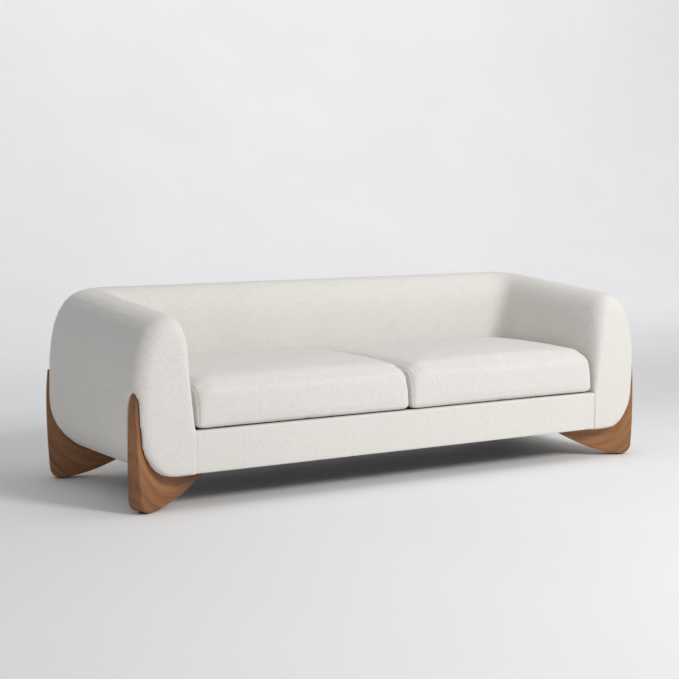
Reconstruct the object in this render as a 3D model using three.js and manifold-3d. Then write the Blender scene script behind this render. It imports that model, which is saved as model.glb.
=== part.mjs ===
// A two-seat sofa: one soft tub of arms and back, loose seat cushions, and four boomerang-shaped
// wooden legs that cradle the lower corners. Under the upholstery there is a timber frame.
// Millimetres, +Z up, front towards -Y, +X to the right as seen from the front.
// The origin is on the floor, under the centre of the sofa.
import * as THREE from "three";
import { mergeVertices } from "three/addons/utils/BufferGeometryUtils.js";
import Module from "manifold-3d";

const wasm = await Module();
wasm.setup();

// ---------------------------------------------------------------- driving dimensions
const LENGTH = 2400; // across the widest part of the arms
const DEPTH = 900;
const BACK_HEIGHT = 772; // floor to the ridge of the back
const ARM_FRONT_HEIGHT = 707; // the arm's ridge line, carried on to the front plane
const UNDERSIDE = 124; // floor to the bottom of the upholstery
const ARM_THICKNESS = 250;
const BACK_THICKNESS = 235;

// Shape of the tub's wall
const RIDGE_SHARE = 0.36; // where the ridge stands across the wall, from the inner face
const INNER_SHOULDER = 140; // height of the round from the inner face to the ridge
const INNER_LEAN = 10; // how far the inner face leans back at the shoulder
const BULGE_HEIGHT = 370; // floor to the widest line of the outer face
const BELLY_HEIGHT = 200; // height of the round under the widest line
const BELLY_SHARE = 0.68; // its width across the wall
const SHOULDER_POWER_REAR = 3; // outer shoulder as a superellipse: fuller behind than in front
const SHOULDER_POWER_FRONT = 2.2;
const REAR_CORNER = 125; // plan radius outside
const INNER_CORNER = 70; // plan radius inside, where arm meets back
const NOSE_DEPTH = 75; // how far back the rounding of an arm's front end reaches
const NOSE_OUTER = 66; // how much that rounding takes off each side of the section
const NOSE_INNER = 42;
const NOSE_TOP = 62;
const NOSE_BOTTOM = 8;

// Seat
const SEAT_BASE = 289.5; // floor to the underside of the cushions
const CUSHION_EDGE = 182; // cushion thickness at its edges
const CUSHION_CROWN = 30; // how much thicker it is in the middle
const CUSHION_ROUND = 50; // radius of its edges and corners
const CUSHION_SIDE_GAP = 5;
const CUSHION_REAR_GAP = 10;
const CUSHION_MIDDLE_GAP = 3;
const CUSHION_SETBACK = 4; // front of the cushions behind the front plane
const COVER_WALL = 8; // cover with its wadding
const CORE_GAP = 1;
const PAD_THICKNESS = 46; // padding on the front of the seat
const PAD_LIFT = 7; // underside of that padding above the underside of the arms
const FASCIA_THICKNESS = 15;
const DECK_THICKNESS = 42;

// Timber
const RAIL_THICKNESS = 30;
const RAIL_TOP = 240; // floor to the top of the seat rails
const POST_THICKNESS = 40;
const POST_DEPTH = 70;
const ARM_RAIL_LIFT = 20; // keeps the arm's bottom rail above the rounded underside
const TOP_BOARD = 60; // height of the boards that run along the tops of arms and back
const TOP_COVER = 130; // padding between a ridge and the timber below it
const SLOT_START = 112; // solid padding in front of the timber in an arm
const SLOT_CLEARANCE = 4;
const SLOT_RISE = 40; // rise of the slot's floor on its outer side
const BLOCK_LENGTH = 150;
const REAR_BLOCK_LENGTH = 180;
const BLOCK_WIDTH = 100;
const BLOCK_HEIGHT = 58;

// Webbing
const STRAPS = 6;
const STRAP_WIDTH = 70;
const STRAP_THICKNESS = 2.5;

// Legs
const LEG_TOE_IN = THREE.MathUtils.degToRad(20); // plate against the sofa's length
const LEG_INSET = 35; // the plate's middle plane behind the front plane, at the corner
const LEG_TIP = 440; // floor to the top of the upright horn
const LEG_ARCH = 75; // height of the pointed arch that ends it
const LEG_TOP_THICKNESS = 46;
const LEG_FOOT_THICKNESS = 72;
const LEG_WAIST = 300; // height where the outer edge stands furthest out
const LEG_WAIST_INSET = 12; // from the body's widest line
const LEG_BOW = 9; // how much further in the foot stands than the waist
const LEG_TIP_DRAW = 5; // how much further in the outer edge draws at the tip
const LEG_HEEL_RADIUS = 44;
const LEG_HORN_TAPER = 12; // how much the upright horn's inner edge draws in at its tip
const LEG_CROOK = [142, 206]; // radii of the inside of the bend
const LEG_CROOK_END = 185; // along the plate, where the bend runs out under the body
const LEG_REACH = 376; // end of the lower horn, along the plate
const LEG_RISE = 115; // how far its lower edge rises from the foot
const LEG_RISE_CURVE = [-0.26, 1.6, -0.34]; // that rise as a cubic of the share of the reach
const LEG_EDGE = 8; // rounding of the plate's edges
const LEG_GAP = 2; // leg to upholstery
const LEG_OPENING = 20; // how far out the upholstery is cut away in front of a leg's outer edge
const HORN_STEP = 15; // between a leg's stations, down the upright horn
const EDGE_STEP = 50; // between the outer edge's points from there down to the heel
const REACH_STEP = 35; // between the lower edge's points, along the plate
const HEEL_TURN = [180, 268]; // degrees of the round under the foot
const HEEL_END = 90; // along the plate, where that round has run out
const CROOK_TURN = [184, 250]; // degrees of the inside of the bend over the foot
const FOOT_PLACE = 62; // middle of the glide, along the plate
const GLIDE_RADIUS = 13;
const GLIDE_THICKNESS = 4;
const BOLT_RADIUS = 4;
const BOLT_HEAD_RADIUS = 6.5;
const BOLT_HEAD_HEIGHT = 8;
const BOLT_PLACES = [255, 325]; // along the plate
const HEAD_RECESS = 16; // a bolt's head above the leg's lower edge

const TOUCH = 0.3; // gap between pieces that touch
const BOLT_CLEARANCE = 0.5;
const HEAD_CLEARANCE = 1.5;

// ---------------------------------------------------------------- what follows from them
const halfLength = LENGTH / 2;
const frontY = -DEPTH / 2;
const rearY = DEPTH / 2;
const innerX = halfLength - ARM_THICKNESS; // inner face of an arm
const backY = rearY - BACK_THICKNESS; // inner face of the back
const slotInner = 0.34; // share of the wall inside the timber
const slotOuter = 0.68;
const slotFloorEnd = 0.53;
const armBoardX = innerX + slotInner * ARM_THICKNESS; // inner side of the arm timber
const backBoardY = backY + slotInner * BACK_THICKNESS;
const sideRailX = armBoardX - RAIL_THICKNESS - TOUCH;
const railBottom = UNDERSIDE + 2.5;
const railHeight = RAIL_TOP - railBottom;
const fasciaBackY = frontY + 2 + PAD_THICKNESS + TOUCH + FASCIA_THICKNESS;
const frontRailY = fasciaBackY + TOUCH;
const rearRailY = backBoardY - RAIL_THICKNESS - TOUCH;
const frameReach = sideRailX + RAIL_THICKNESS;
const backBoardRear = backBoardY + TOUCH + POST_THICKNESS;
const legCornerY = frontY + LEG_INSET;

const wood = new THREE.MeshStandardMaterial({ color: 0x8a5a36, roughness: 0.5, metalness: 0 });
const timber = new THREE.MeshStandardMaterial({ color: 0xc9a878, roughness: 0.8, metalness: 0 });
const boucle = new THREE.MeshStandardMaterial({ color: 0xdedbd5, roughness: 0.95, metalness: 0 });
const foam = new THREE.MeshStandardMaterial({ color: 0xeee6c8, roughness: 0.95, metalness: 0 });
const lining = new THREE.MeshStandardMaterial({ color: 0x2e2e30, roughness: 0.9, metalness: 0 });
const webbing = new THREE.MeshStandardMaterial({ color: 0x4a4038, roughness: 0.9, metalness: 0 });
const steel = new THREE.MeshStandardMaterial({ color: 0x9a9a9c, roughness: 0.35, metalness: 1 });
const felt = new THREE.MeshStandardMaterial({ color: 0x3a332c, roughness: 1, metalness: 0 });

// Each corner with the signs that turn the front left one into it.
const CORNERS = [
  ["left_front", 1, 1],
  ["right_front", -1, 1],
  ["left_rear", 1, -1],
  ["right_rear", -1, -1],
];

const sofa = new THREE.Group();

// ---------------------------------------------------------------- helpers
function place(name, geometry, material, parent = sofa) {
  const mesh = new THREE.Mesh(geometry, material.clone());
  mesh.name = name;
  parent.add(mesh);
  return mesh;
}

function solidOf(geometry) {
  const bare = new THREE.BufferGeometry();
  bare.setAttribute("position", geometry.getAttribute("position").clone());
  if (geometry.index) bare.setIndex(geometry.index.clone());
  const merged = mergeVertices(bare, 1e-3);
  return new wasm.Manifold(
    new wasm.Mesh({
      numProp: 3,
      vertProperties: merged.attributes.position.array,
      triVerts: new Uint32Array(merged.index.array),
    }),
  );
}

function geometryOf(solid) {
  const { numProp, numVert, vertProperties, triVerts } = solid.getMesh();
  const positions = new Float32Array(numVert * 3);
  for (let i = 0; i < numVert; i++) {
    positions.set(vertProperties.subarray(i * numProp, i * numProp + 3), i * 3);
  }
  const geometry = new THREE.BufferGeometry();
  geometry.setAttribute("position", new THREE.BufferAttribute(positions, 3));
  geometry.setIndex(new THREE.BufferAttribute(triVerts, 1));
  return geometry.toNonIndexed();
}

function without(geometry, ...cutters) {
  const cut = cutters.reduce((left, cutter) => left.subtract(solidOf(cutter)), solidOf(geometry));
  return geometryOf(cut);
}

// A box from its lowest to its highest corner.
function block(low, high) {
  const size = high.map((value, axis) => value - low[axis]);
  const middle = high.map((value, axis) => (value + low[axis]) / 2);
  return new THREE.BoxGeometry(...size).translate(...middle);
}

// A closed skin over rings of equal numbers of points, with a fan over each end.
function loft(rings) {
  const count = rings[0].length;
  const positions = rings.flat().flatMap((p) => [p.x, p.y, p.z]);
  const ends = [rings[0], rings[rings.length - 1]].map((ring) => {
    const middle = ring.reduce((sum, p) => sum.add(p), new THREE.Vector3());
    positions.push(...middle.divideScalar(count).toArray());
    return positions.length / 3 - 1;
  });
  const faces = [];
  const last = (rings.length - 1) * count;
  for (let i = 0; i < count; i++) {
    const next = (i + 1) % count;
    for (let r = 0; r < rings.length - 1; r++) {
      const a = r * count + i;
      const b = r * count + next;
      faces.push(a, b, b + count, a, b + count, a + count);
    }
    faces.push(ends[0], next, i, ends[1], last + i, last + next);
  }
  const geometry = new THREE.BufferGeometry();
  geometry.setAttribute("position", new THREE.Float32BufferAttribute(positions, 3));
  geometry.setIndex(faces);
  return geometry.toNonIndexed();
}

// A box with every edge round, and a crown on its top, made from a grid that is finer at the edges.
function softBox(low, high, radius, { edgeSteps = 3, midSteps = 4, crown = 0 } = {}) {
  const half = high.map((value, axis) => (value - low[axis]) / 2);
  const middle = high.map((value, axis) => (value + low[axis]) / 2);
  const steps = 2 * edgeSteps + midSteps;
  const stop = (index, axis) => {
    const flat = half[axis] - radius;
    const side = index < edgeSteps ? -1 : 1;
    const into = side < 0 ? edgeSteps - index : index - edgeSteps - midSteps;
    if (into > 0) return side * (flat + radius * Math.tan((Math.PI / 4) * (into / edgeSteps)));
    return flat * ((2 * (index - edgeSteps)) / midSteps - 1);
  };
  const geometry = new THREE.BoxGeometry(1, 1, 1, steps, steps, steps);
  const position = geometry.getAttribute("position");
  for (let i = 0; i < position.count; i++) {
    const point = [position.getX(i), position.getY(i), position.getZ(i)].map((value, axis) =>
      stop(Math.round((value + 0.5) * steps), axis),
    );
    const core = point.map((value, axis) => {
      const flat = half[axis] - radius;
      return Math.min(flat, Math.max(-flat, value));
    });
    const away = new THREE.Vector3(...point).sub(new THREE.Vector3(...core)).setLength(radius);
    const round = new THREE.Vector3(...core).add(away);
    const swell = (1 - (round.x / half[0]) ** 2) * (1 - (round.y / half[1]) ** 2);
    round.z += crown * swell * Math.max(0, round.z / half[2]);
    position.setXYZ(i, round.x + middle[0], round.y + middle[1], round.z + middle[2]);
  }
  return geometry;
}

// ---------------------------------------------------------------- the tub
// Height of the ridge: level along the back, falling evenly to the front of the arms.
function ridgeAt(y) {
  const start = rearY - BACK_THICKNESS / 2;
  const fall = (BACK_HEIGHT - ARM_FRONT_HEIGHT) / (start - frontY);
  return BACK_HEIGHT - fall * Math.max(0, start - y);
}

// Points on an ellipse from one angle to another; a power over 2 makes it fuller.
function arc(cx, cz, rx, rz, from, to, steps, power = 2) {
  const fuller = (value) => Math.sign(value) * Math.abs(value) ** (2 / power);
  return Array.from({ length: steps + 1 }, (_, i) => {
    const angle = THREE.MathUtils.degToRad(from + ((to - from) * i) / steps);
    return [cx + rx * fuller(Math.cos(angle)), cz + rz * fuller(Math.sin(angle))];
  });
}

// The wall's section as [share across the wall from the inner face, height].
function wallSection(y) {
  const ridge = ridgeAt(y);
  const rearward = THREE.MathUtils.clamp((y - frontY) / DEPTH, 0, 1);
  const power = THREE.MathUtils.lerp(SHOULDER_POWER_FRONT, SHOULDER_POWER_REAR, rearward);
  const lean = INNER_LEAN / ARM_THICKNESS;
  const round = RIDGE_SHARE - lean;
  const shoulder = ridge - INNER_SHOULDER;
  return [
    [0, UNDERSIDE],
    ...arc(1 - BELLY_SHARE, UNDERSIDE + BELLY_HEIGHT, BELLY_SHARE, BELLY_HEIGHT, -90, 0, 6),
    ...arc(RIDGE_SHARE, BULGE_HEIGHT, 1 - RIDGE_SHARE, ridge - BULGE_HEIGHT, 0, 90, 8, power),
    ...arc(RIDGE_SHARE, shoulder, round, INNER_SHOULDER, 90, 180, 5).slice(1),
    [lean * 0.4, SEAT_BASE],
  ];
}

// Matching points on the inner and the outer plan curve, from the front of the left arm to the
// middle of the back.
function wallStations(frontInner) {
  const armSteps = 4;
  const cornerSteps = 6;
  const stations = [];
  for (let i = 0; i <= armSteps; i++) {
    const share = i / armSteps;
    const inside = THREE.MathUtils.lerp(frontInner, backY - INNER_CORNER, share);
    const outside = THREE.MathUtils.lerp(frontInner, rearY - REAR_CORNER, share);
    stations.push([[-innerX, inside], [-halfLength, outside]]);
  }
  for (let i = 1; i <= cornerSteps; i++) {
    const angle = ((Math.PI / 2) * i) / cornerSteps;
    const corner = (x, y, radius) => [
      x + radius * (1 - Math.cos(angle)),
      y - radius * (1 - Math.sin(angle)),
    ];
    stations.push([corner(-innerX, backY, INNER_CORNER), corner(-halfLength, rearY, REAR_CORNER)]);
  }
  return stations;
}

function ringAt([inside, outside], section) {
  return section.map(([share, z]) => new THREE.Vector3(
    THREE.MathUtils.lerp(inside[0], outside[0], share),
    THREE.MathUtils.lerp(inside[1], outside[1], share),
    z,
  ));
}

function mirrorRings(rings) {
  const other = rings.map((ring) => ring.map((p) => new THREE.Vector3(-p.x, p.y, p.z)));
  return [...rings, ...other.reverse()];
}

// The front end of an arm: the section shrinks towards the front plane.
function noseRings(steps) {
  const section = wallSection(frontY + NOSE_DEPTH);
  const top = ridgeAt(frontY + NOSE_DEPTH);
  return Array.from({ length: steps }, (_, i) => {
    const angle = (Math.PI / 2) * (1 - i / steps);
    const inset = 1 - Math.cos(angle);
    const y = frontY + NOSE_DEPTH * (1 - Math.sin(angle));
    const inside = -innerX - NOSE_INNER * inset;
    const outside = -halfLength + NOSE_OUTER * inset;
    const low = UNDERSIDE + NOSE_BOTTOM * inset;
    const high = top - NOSE_TOP * inset;
    const squeezed = section.map(([share, z]) => [
      share,
      low + ((z - UNDERSIDE) * (high - low)) / (top - UNDERSIDE),
    ]);
    const ring = ringAt([[inside, y], [outside, y]], squeezed);
    ring[0].x = -innerX;
    ring[ring.length - 1].x = -innerX;
    return ring;
  });
}

function tubGeometry() {
  const walls = wallStations(frontY + NOSE_DEPTH).map((station) => {
    const ridgeY = THREE.MathUtils.lerp(station[0][1], station[1][1], RIDGE_SHARE);
    return ringAt(station, wallSection(ridgeY));
  });
  return loft(mirrorRings([...noseRings(5), ...walls]));
}

// The slot in the tub's wall that holds the timber. Its floor rises outwards with the underside.
function timberSlot() {
  const floor = railBottom + ARM_RAIL_LIFT - SLOT_CLEARANCE;
  const rings = wallStations(frontY + SLOT_START).map((station) => {
    const ridgeY = THREE.MathUtils.lerp(station[0][1], station[1][1], RIDGE_SHARE);
    const top = ridgeAt(ridgeY) - TOP_COVER + SLOT_CLEARANCE;
    return ringAt(station, [
      [slotInner, floor],
      [slotFloorEnd, floor],
      [slotOuter, floor + SLOT_RISE],
      [slotOuter, top],
      [slotInner, top],
    ]);
  });
  return loft(mirrorRings(rings));
}

// Below the cushions the inner side of the wall is cut back, so that the seat rails meet the timber.
function seatRelief() {
  return block(
    [-armBoardX - TOUCH, fasciaBackY, UNDERSIDE - 40],
    [armBoardX + TOUCH, backBoardY + TOUCH, RAIL_TOP + STRAP_THICKNESS + 2],
  );
}

function makeTub() {
  const holes = BOLT_PLACES.flatMap((along) => {
    const [x, y] = platePlace(along);
    return [[x, -y], [-x, -y]].map((at) => rod(BOLT_RADIUS + BOLT_CLEARANCE, 0, RAIL_TOP, at, 8));
  });
  const tub = without(tubGeometry(), timberSlot(), seatRelief(), ...holes, ...legNotches());
  place("tub_upholstery", tub, boucle);
}

// ---------------------------------------------------------------- seat
function makeSeatFront() {
  const width = innerX - TOUCH * 6;
  const top = SEAT_BASE - 1.5;
  const padBack = fasciaBackY - FASCIA_THICKNESS - TOUCH;
  place(
    "front_rail_pad",
    softBox([-width, frontY + 2, UNDERSIDE + PAD_LIFT], [width, padBack, top], 18, {
      edgeSteps: 2,
      midSteps: 2,
    }),
    boucle,
  );
  place(
    "front_fascia_board",
    block([-width, padBack + TOUCH, railBottom], [width, fasciaBackY, RAIL_TOP]),
    timber,
  );
}

// The deck fills the well between the arms, with the tub's own round corners behind.
function makeDeckPad() {
  const width = innerX - TOUCH * 6;
  const front = fasciaBackY - FASCIA_THICKNESS;
  const rear = backY - TOUCH * 6;
  const bend = INNER_CORNER;
  const bottom = RAIL_TOP + STRAP_THICKNESS + 2 * TOUCH;
  const outline = [
    [-width, front],
    [width, front],
    ...arc(width - bend, rear - bend, bend, bend, 0, 90, 5),
    ...arc(bend - width, rear - bend, bend, bend, 90, 180, 5),
  ];
  const shape = new THREE.Shape(outline.map(([x, y]) => new THREE.Vector2(x, y)));
  const pad = new THREE.ExtrudeGeometry(shape, { depth: DECK_THICKNESS, bevelEnabled: false });
  place("deck_pad", pad.translate(0, 0, bottom), lining);
}

function makeWebbing() {
  const pitch = (2 * innerX) / STRAPS;
  for (let i = 0; i < STRAPS; i++) {
    const x = -innerX + pitch * (i + 0.5);
    place(
      `webbing_strap_${i + 1}`,
      block(
        [x - STRAP_WIDTH / 2, frontRailY, RAIL_TOP + TOUCH],
        [x + STRAP_WIDTH / 2, rearRailY + RAIL_THICKNESS, RAIL_TOP + TOUCH + STRAP_THICKNESS],
      ),
      webbing,
    );
  }
}

const cushionLow = [-innerX + CUSHION_SIDE_GAP, frontY + CUSHION_SETBACK, SEAT_BASE];
const cushionHigh = [-CUSHION_MIDDLE_GAP / 2, backY - CUSHION_REAR_GAP, SEAT_BASE + CUSHION_EDGE];
const zipLength = 700;
const zipMiddle = (cushionLow[0] + cushionHigh[0]) / 2;
const zipHeight = (cushionLow[2] + cushionHigh[2]) / 2;
const zipTape = { thickness: 1.2, height: 26 };
const zipPull = { width: 9, depth: 3.5, height: 12, tab: 22 };

// The cushion's shape, smaller all round by an amount.
function cushionBox(amount, edgeSteps) {
  return softBox(
    cushionLow.map((value) => value + amount),
    cushionHigh.map((value) => value - amount),
    CUSHION_ROUND - amount,
    { edgeSteps, crown: CUSHION_CROWN },
  );
}

// Cover, foam core, zip and zip pull, built for the left seat.
function makeCushion(side, mirror) {
  const group = new THREE.Group();
  group.scale.x = mirror;
  sofa.add(group);
  const rear = cushionHigh[1];
  const mouth = block(
    [zipMiddle - zipLength / 2, rear - 3 * COVER_WALL, zipHeight - 4],
    [zipMiddle + zipLength / 2, rear + COVER_WALL, zipHeight + 4],
  );
  const cover = without(cushionBox(0, 3), cushionBox(COVER_WALL, 2), mouth);
  place(`${side}_cushion_cover`, cover, boucle, group);
  place(`${side}_cushion_core`, cushionBox(COVER_WALL + CORE_GAP, 2), foam, group);
  const tapeBack = rear + TOUCH + zipTape.thickness;
  place(
    `${side}_cushion_zip`,
    block(
      [zipMiddle - zipLength / 2 - 10, rear + TOUCH, zipHeight - zipTape.height / 2],
      [zipMiddle + zipLength / 2 + 10, tapeBack, zipHeight + zipTape.height / 2],
    ),
    webbing,
    group,
  );
  place(`${side}_zip_pull`, zipPullGeometry(tapeBack + TOUCH), steel, group);
}

function zipPullGeometry(y) {
  const { width, depth, height, tab } = zipPull;
  const shape = new THREE.Shape([
    new THREE.Vector2(-width / 2, -height / 2),
    new THREE.Vector2(-width / 4, -height / 2),
    new THREE.Vector2(-width / 4, -height / 2 - tab),
    new THREE.Vector2(width / 4, -height / 2 - tab),
    new THREE.Vector2(width / 4, -height / 2),
    new THREE.Vector2(width / 2, -height / 2),
    new THREE.Vector2(width / 2, height / 2),
    new THREE.Vector2(-width / 2, height / 2),
  ]);
  const pull = new THREE.ExtrudeGeometry(shape, { depth, bevelEnabled: false });
  pull.rotateX(Math.PI / 2);
  const start = zipMiddle - zipLength / 2 + width;
  return pull.translate(start, y + depth, zipHeight);
}

// ---------------------------------------------------------------- timber frame
function makeSeatFrame() {
  const rearReach = sideRailX - REAR_BLOCK_LENGTH - 2 * TOUCH;
  place(
    "front_seat_rail",
    block([-frameReach, frontRailY, railBottom], [frameReach, frontRailY + RAIL_THICKNESS, RAIL_TOP]),
    timber,
  );
  place(
    "rear_seat_rail",
    block([-rearReach, rearRailY, railBottom], [rearReach, rearRailY + RAIL_THICKNESS, RAIL_TOP]),
    timber,
  );
  const from = frontRailY + RAIL_THICKNESS + TOUCH;
  const to = rearRailY - TOUCH;
  const sideTo = rearRailY + RAIL_THICKNESS;
  for (const [side, sign] of [["left", -1], ["right", 1]]) {
    const near = sign * sideRailX;
    const far = sign * frameReach;
    place(
      `${side}_seat_rail`,
      block([Math.min(near, far), from, railBottom], [Math.max(near, far), sideTo, RAIL_TOP]),
      timber,
    );
    const x = (sign * innerX) / 3;
    place(
      `${side}_cross_rail`,
      block([x - RAIL_THICKNESS / 2, from, railBottom], [x + RAIL_THICKNESS / 2, to, RAIL_TOP - 20]),
      timber,
    );
  }
}

// A place along the middle of the front left leg's plate, in plan.
function platePlace(along) {
  return [
    -halfLength + along * Math.cos(LEG_TOE_IN),
    legCornerY + along * Math.sin(LEG_TOE_IN),
  ];
}

function rod(radius, low, high, [x, y], segments = 16) {
  const geometry = new THREE.CylinderGeometry(radius, radius, high - low, segments);
  return geometry.rotateX(Math.PI / 2).translate(x, y, (low + high) / 2);
}

// The legs are bolted up into these blocks, in the four corners of the seat frame.
function makeCornerBlocks() {
  const holes = BOLT_PLACES.map((along) =>
    rod(BOLT_RADIUS + BOLT_CLEARANCE, 0, railBottom + BLOCK_HEIGHT + 1, platePlace(along)),
  );
  const frontLow = [-sideRailX + TOUCH, frontRailY + RAIL_THICKNESS + TOUCH, railBottom];
  const sizes = [BLOCK_LENGTH, BLOCK_WIDTH, BLOCK_HEIGHT];
  const rearLow = -sideRailX + TOUCH;
  const front = without(block(frontLow, frontLow.map((v, axis) => v + sizes[axis])), ...holes);
  // The rear blocks are the joint of three rails, made at the front and turned to the back.
  const rear = without(
    block(
      [rearLow, -backBoardRear, railBottom + ARM_RAIL_LIFT],
      [rearLow + REAR_BLOCK_LENGTH, -rearRailY, RAIL_TOP],
    ),
    ...holes,
  );
  for (const [side, mirror] of [["left", 1], ["right", -1]]) {
    place(`${side}_front_corner_block`, front, timber).scale.set(mirror, 1, 1);
    place(`${side}_rear_corner_block`, rear, timber).scale.set(mirror, -1, 1);
  }
}

function makeArmFrame(side, sign) {
  const slotFront = frontY + SLOT_START + 4;
  const slotRear = backBoardY - POST_THICKNESS;
  const near = sign * (armBoardX + TOUCH);
  const far = sign * (armBoardX + TOUCH + POST_THICKNESS);
  const low = Math.min(near, far);
  const high = Math.max(near, far);
  const boardTop = (y) => ridgeAt(y) - TOP_COVER;
  place(
    `${side}_arm_bottom_rail`,
    block([low, slotFront, railBottom + ARM_RAIL_LIFT], [high, slotRear, RAIL_TOP]),
    timber,
  );
  const post = (name, y) =>
    place(
      name,
      block(
        [low, y, RAIL_TOP + TOUCH],
        [high, y + POST_DEPTH, boardTop(y) - TOP_BOARD - TOUCH],
      ),
      timber,
    );
  post(`${side}_arm_front_post`, slotFront);
  post(`${side}_arm_rear_post`, slotRear - POST_DEPTH);
  const outline = new THREE.Shape([
    new THREE.Vector2(slotFront, boardTop(slotFront) - TOP_BOARD),
    new THREE.Vector2(slotRear, boardTop(slotRear) - TOP_BOARD),
    new THREE.Vector2(slotRear, boardTop(slotRear)),
    new THREE.Vector2(slotFront, boardTop(slotFront)),
  ]);
  const rail = new THREE.ExtrudeGeometry(outline, { depth: POST_THICKNESS, bevelEnabled: false });
  rail.applyMatrix4(
    new THREE.Matrix4().makeBasis(
      new THREE.Vector3(0, 1, 0),
      new THREE.Vector3(0, 0, 1),
      new THREE.Vector3(1, 0, 0),
    ),
  );
  place(`${side}_arm_top_rail`, rail.translate(low, 0, 0), timber);
}

function makeBackFrame() {
  const reach = innerX - INNER_CORNER + 20;
  const bottomReach = sideRailX - REAR_BLOCK_LENGTH - 2 * TOUCH;
  const near = backBoardY + TOUCH;
  const far = backBoardRear;
  const top = BACK_HEIGHT - TOP_COVER;
  place(
    "back_bottom_rail",
    block([-bottomReach, near, railBottom + ARM_RAIL_LIFT], [bottomReach, far, RAIL_TOP]),
    timber,
  );
  place("back_top_rail", block([-reach, near, top - TOP_BOARD], [reach, far, top]), timber);
  const stiles = { left: -reach, middle: -POST_DEPTH / 2, right: reach - POST_DEPTH };
  for (const [side, x] of Object.entries(stiles)) {
    place(
      `${side}_back_stile`,
      block([x, near, RAIL_TOP + TOUCH], [x + POST_DEPTH, far, top - TOP_BOARD - TOUCH]),
      timber,
    );
  }
}

function makeDustCover() {
  const reach = armBoardX - TOUCH;
  const holes = BOLT_PLACES.flatMap((along) => {
    const [x, y] = platePlace(along);
    return [[x, y], [-x, y], [x, -y], [-x, -y]].map((at) =>
      rod(BOLT_RADIUS + BOLT_CLEARANCE, 0, RAIL_TOP, at, 8),
    );
  });
  const sheet = block(
    [-reach, frontRailY, UNDERSIDE + 1],
    [reach, rearRailY + RAIL_THICKNESS, railBottom - TOUCH],
  );
  place("dust_cover", without(sheet, ...holes, ...legNotches()), lining);
}

// ---------------------------------------------------------------- legs
// The plate's outer edge: along the plate at a height, slightly bowed, and drawn in at the tip.
function outerEdge(z) {
  const bow = LEG_BOW * ((z - LEG_WAIST) / (LEG_WAIST - 50)) ** 2;
  const tip = Math.max(0, (z - LEG_WAIST) / (LEG_TIP - LEG_WAIST));
  return LEG_WAIST_INSET + bow + LEG_TIP_DRAW * tip ** 2;
}

// The lower edge from the foot to the end of the lower horn: height at a place along the plate.
function lowerEdge(along) {
  const a = along / LEG_REACH;
  const [first, second, third] = LEG_RISE_CURVE;
  const rise = first * a + second * a ** 2 + third * a ** 3;
  return GLIDE_THICKNESS + LEG_RISE * Math.max(0, rise);
}

function legThickness(z) {
  const share = Math.min(1, z / (LEG_TIP - LEG_ARCH));
  const into = Math.max(0, (z - (LEG_TIP - LEG_ARCH)) / LEG_ARCH);
  const plain = THREE.MathUtils.lerp(LEG_FOOT_THICKNESS, LEG_TOP_THICKNESS, share);
  return plain * Math.sqrt(Math.max(0.02, 1 - into * into));
}

// The inner edge of the crook and of the lower horn: height at a place along the plate.
function crookEdge(along) {
  const top = UNDERSIDE - 2 * TOUCH;
  const share = Math.max(0, LEG_CROOK_END - along) / LEG_CROOK[0];
  return top + LEG_CROOK[1] * (1 - Math.sqrt(1 - share * share));
}

// Stations from the tip, down the upright horn, round the heel and out along the lower horn, each
// as a point on the outer and a point on the inner edge: [along the plate, height].
function legStations() {
  const stations = [];
  const crookTop = UNDERSIDE - 2 * TOUCH + LEG_CROOK[1];
  const horn = LEG_CROOK_END - LEG_CROOK[0];
  for (let z = LEG_TIP; z > crookTop; z -= HORN_STEP) {
    const share = (z - crookTop) / (LEG_TIP - crookTop);
    stations.push([[outerEdge(z), z], [horn - LEG_HORN_TAPER * share ** 2, z]]);
  }
  const heel = GLIDE_THICKNESS + LEG_HEEL_RADIUS;
  const outer = [];
  for (let z = crookTop - 2 * HORN_STEP; z > heel + HORN_STEP; z -= EDGE_STEP) {
    outer.push([outerEdge(z), z]);
  }
  const centre = outerEdge(heel) + LEG_HEEL_RADIUS;
  outer.push(...arc(centre, heel, LEG_HEEL_RADIUS, LEG_HEEL_RADIUS, ...HEEL_TURN, 5));
  const bends = outer.length;
  for (let along = HEEL_END; along < LEG_REACH - HORN_STEP; along += REACH_STEP) {
    outer.push([along, lowerEdge(along)]);
  }
  outer.push([LEG_REACH, lowerEdge(LEG_REACH)]);
  const crook = arc(LEG_CROOK_END, crookTop, ...LEG_CROOK, ...CROOK_TURN, bends - 1);
  const start = crook[bends - 1][0];
  outer.forEach((point, i) => {
    if (i < bends) return stations.push([point, crook[i]]);
    const along = THREE.MathUtils.lerp(start, LEG_REACH, (i + 1 - bends) / (outer.length - bends));
    return stations.push([point, [along, crookEdge(along)]]);
  });
  return stations;
}

// The leg's section between an outer and an inner point: a rectangle with round corners.
function legRing([outer, inner], gap, opening) {
  const out = new THREE.Vector2(outer[0] - opening, outer[1]);
  const back = new THREE.Vector2(...inner);
  const depth = out.distanceTo(back) / 2 + gap;
  const middle = out.clone().add(back).divideScalar(2);
  const direction = out.clone().sub(back).normalize();
  const halves = [legThickness(outer[1]) / 2 + gap, legThickness(inner[1]) / 2 + gap];
  const round = Math.min(LEG_EDGE, 0.7 * Math.min(...halves), 0.7 * depth);
  const corner = (from, alongSign, acrossSign, half) =>
    arc(alongSign * (depth - round), acrossSign * (half - round), round, round, from, from + 90, 2);
  const section = [
    ...corner(0, 1, 1, halves[0]),
    ...corner(90, -1, 1, halves[1]),
    ...corner(180, -1, -1, halves[1]),
    ...corner(270, 1, -1, halves[0]),
  ];
  return section.map(([reach, across]) => {
    const point = middle.clone().addScaledVector(direction, reach);
    return new THREE.Vector3(point.x, point.y, across);
  });
}

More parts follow.
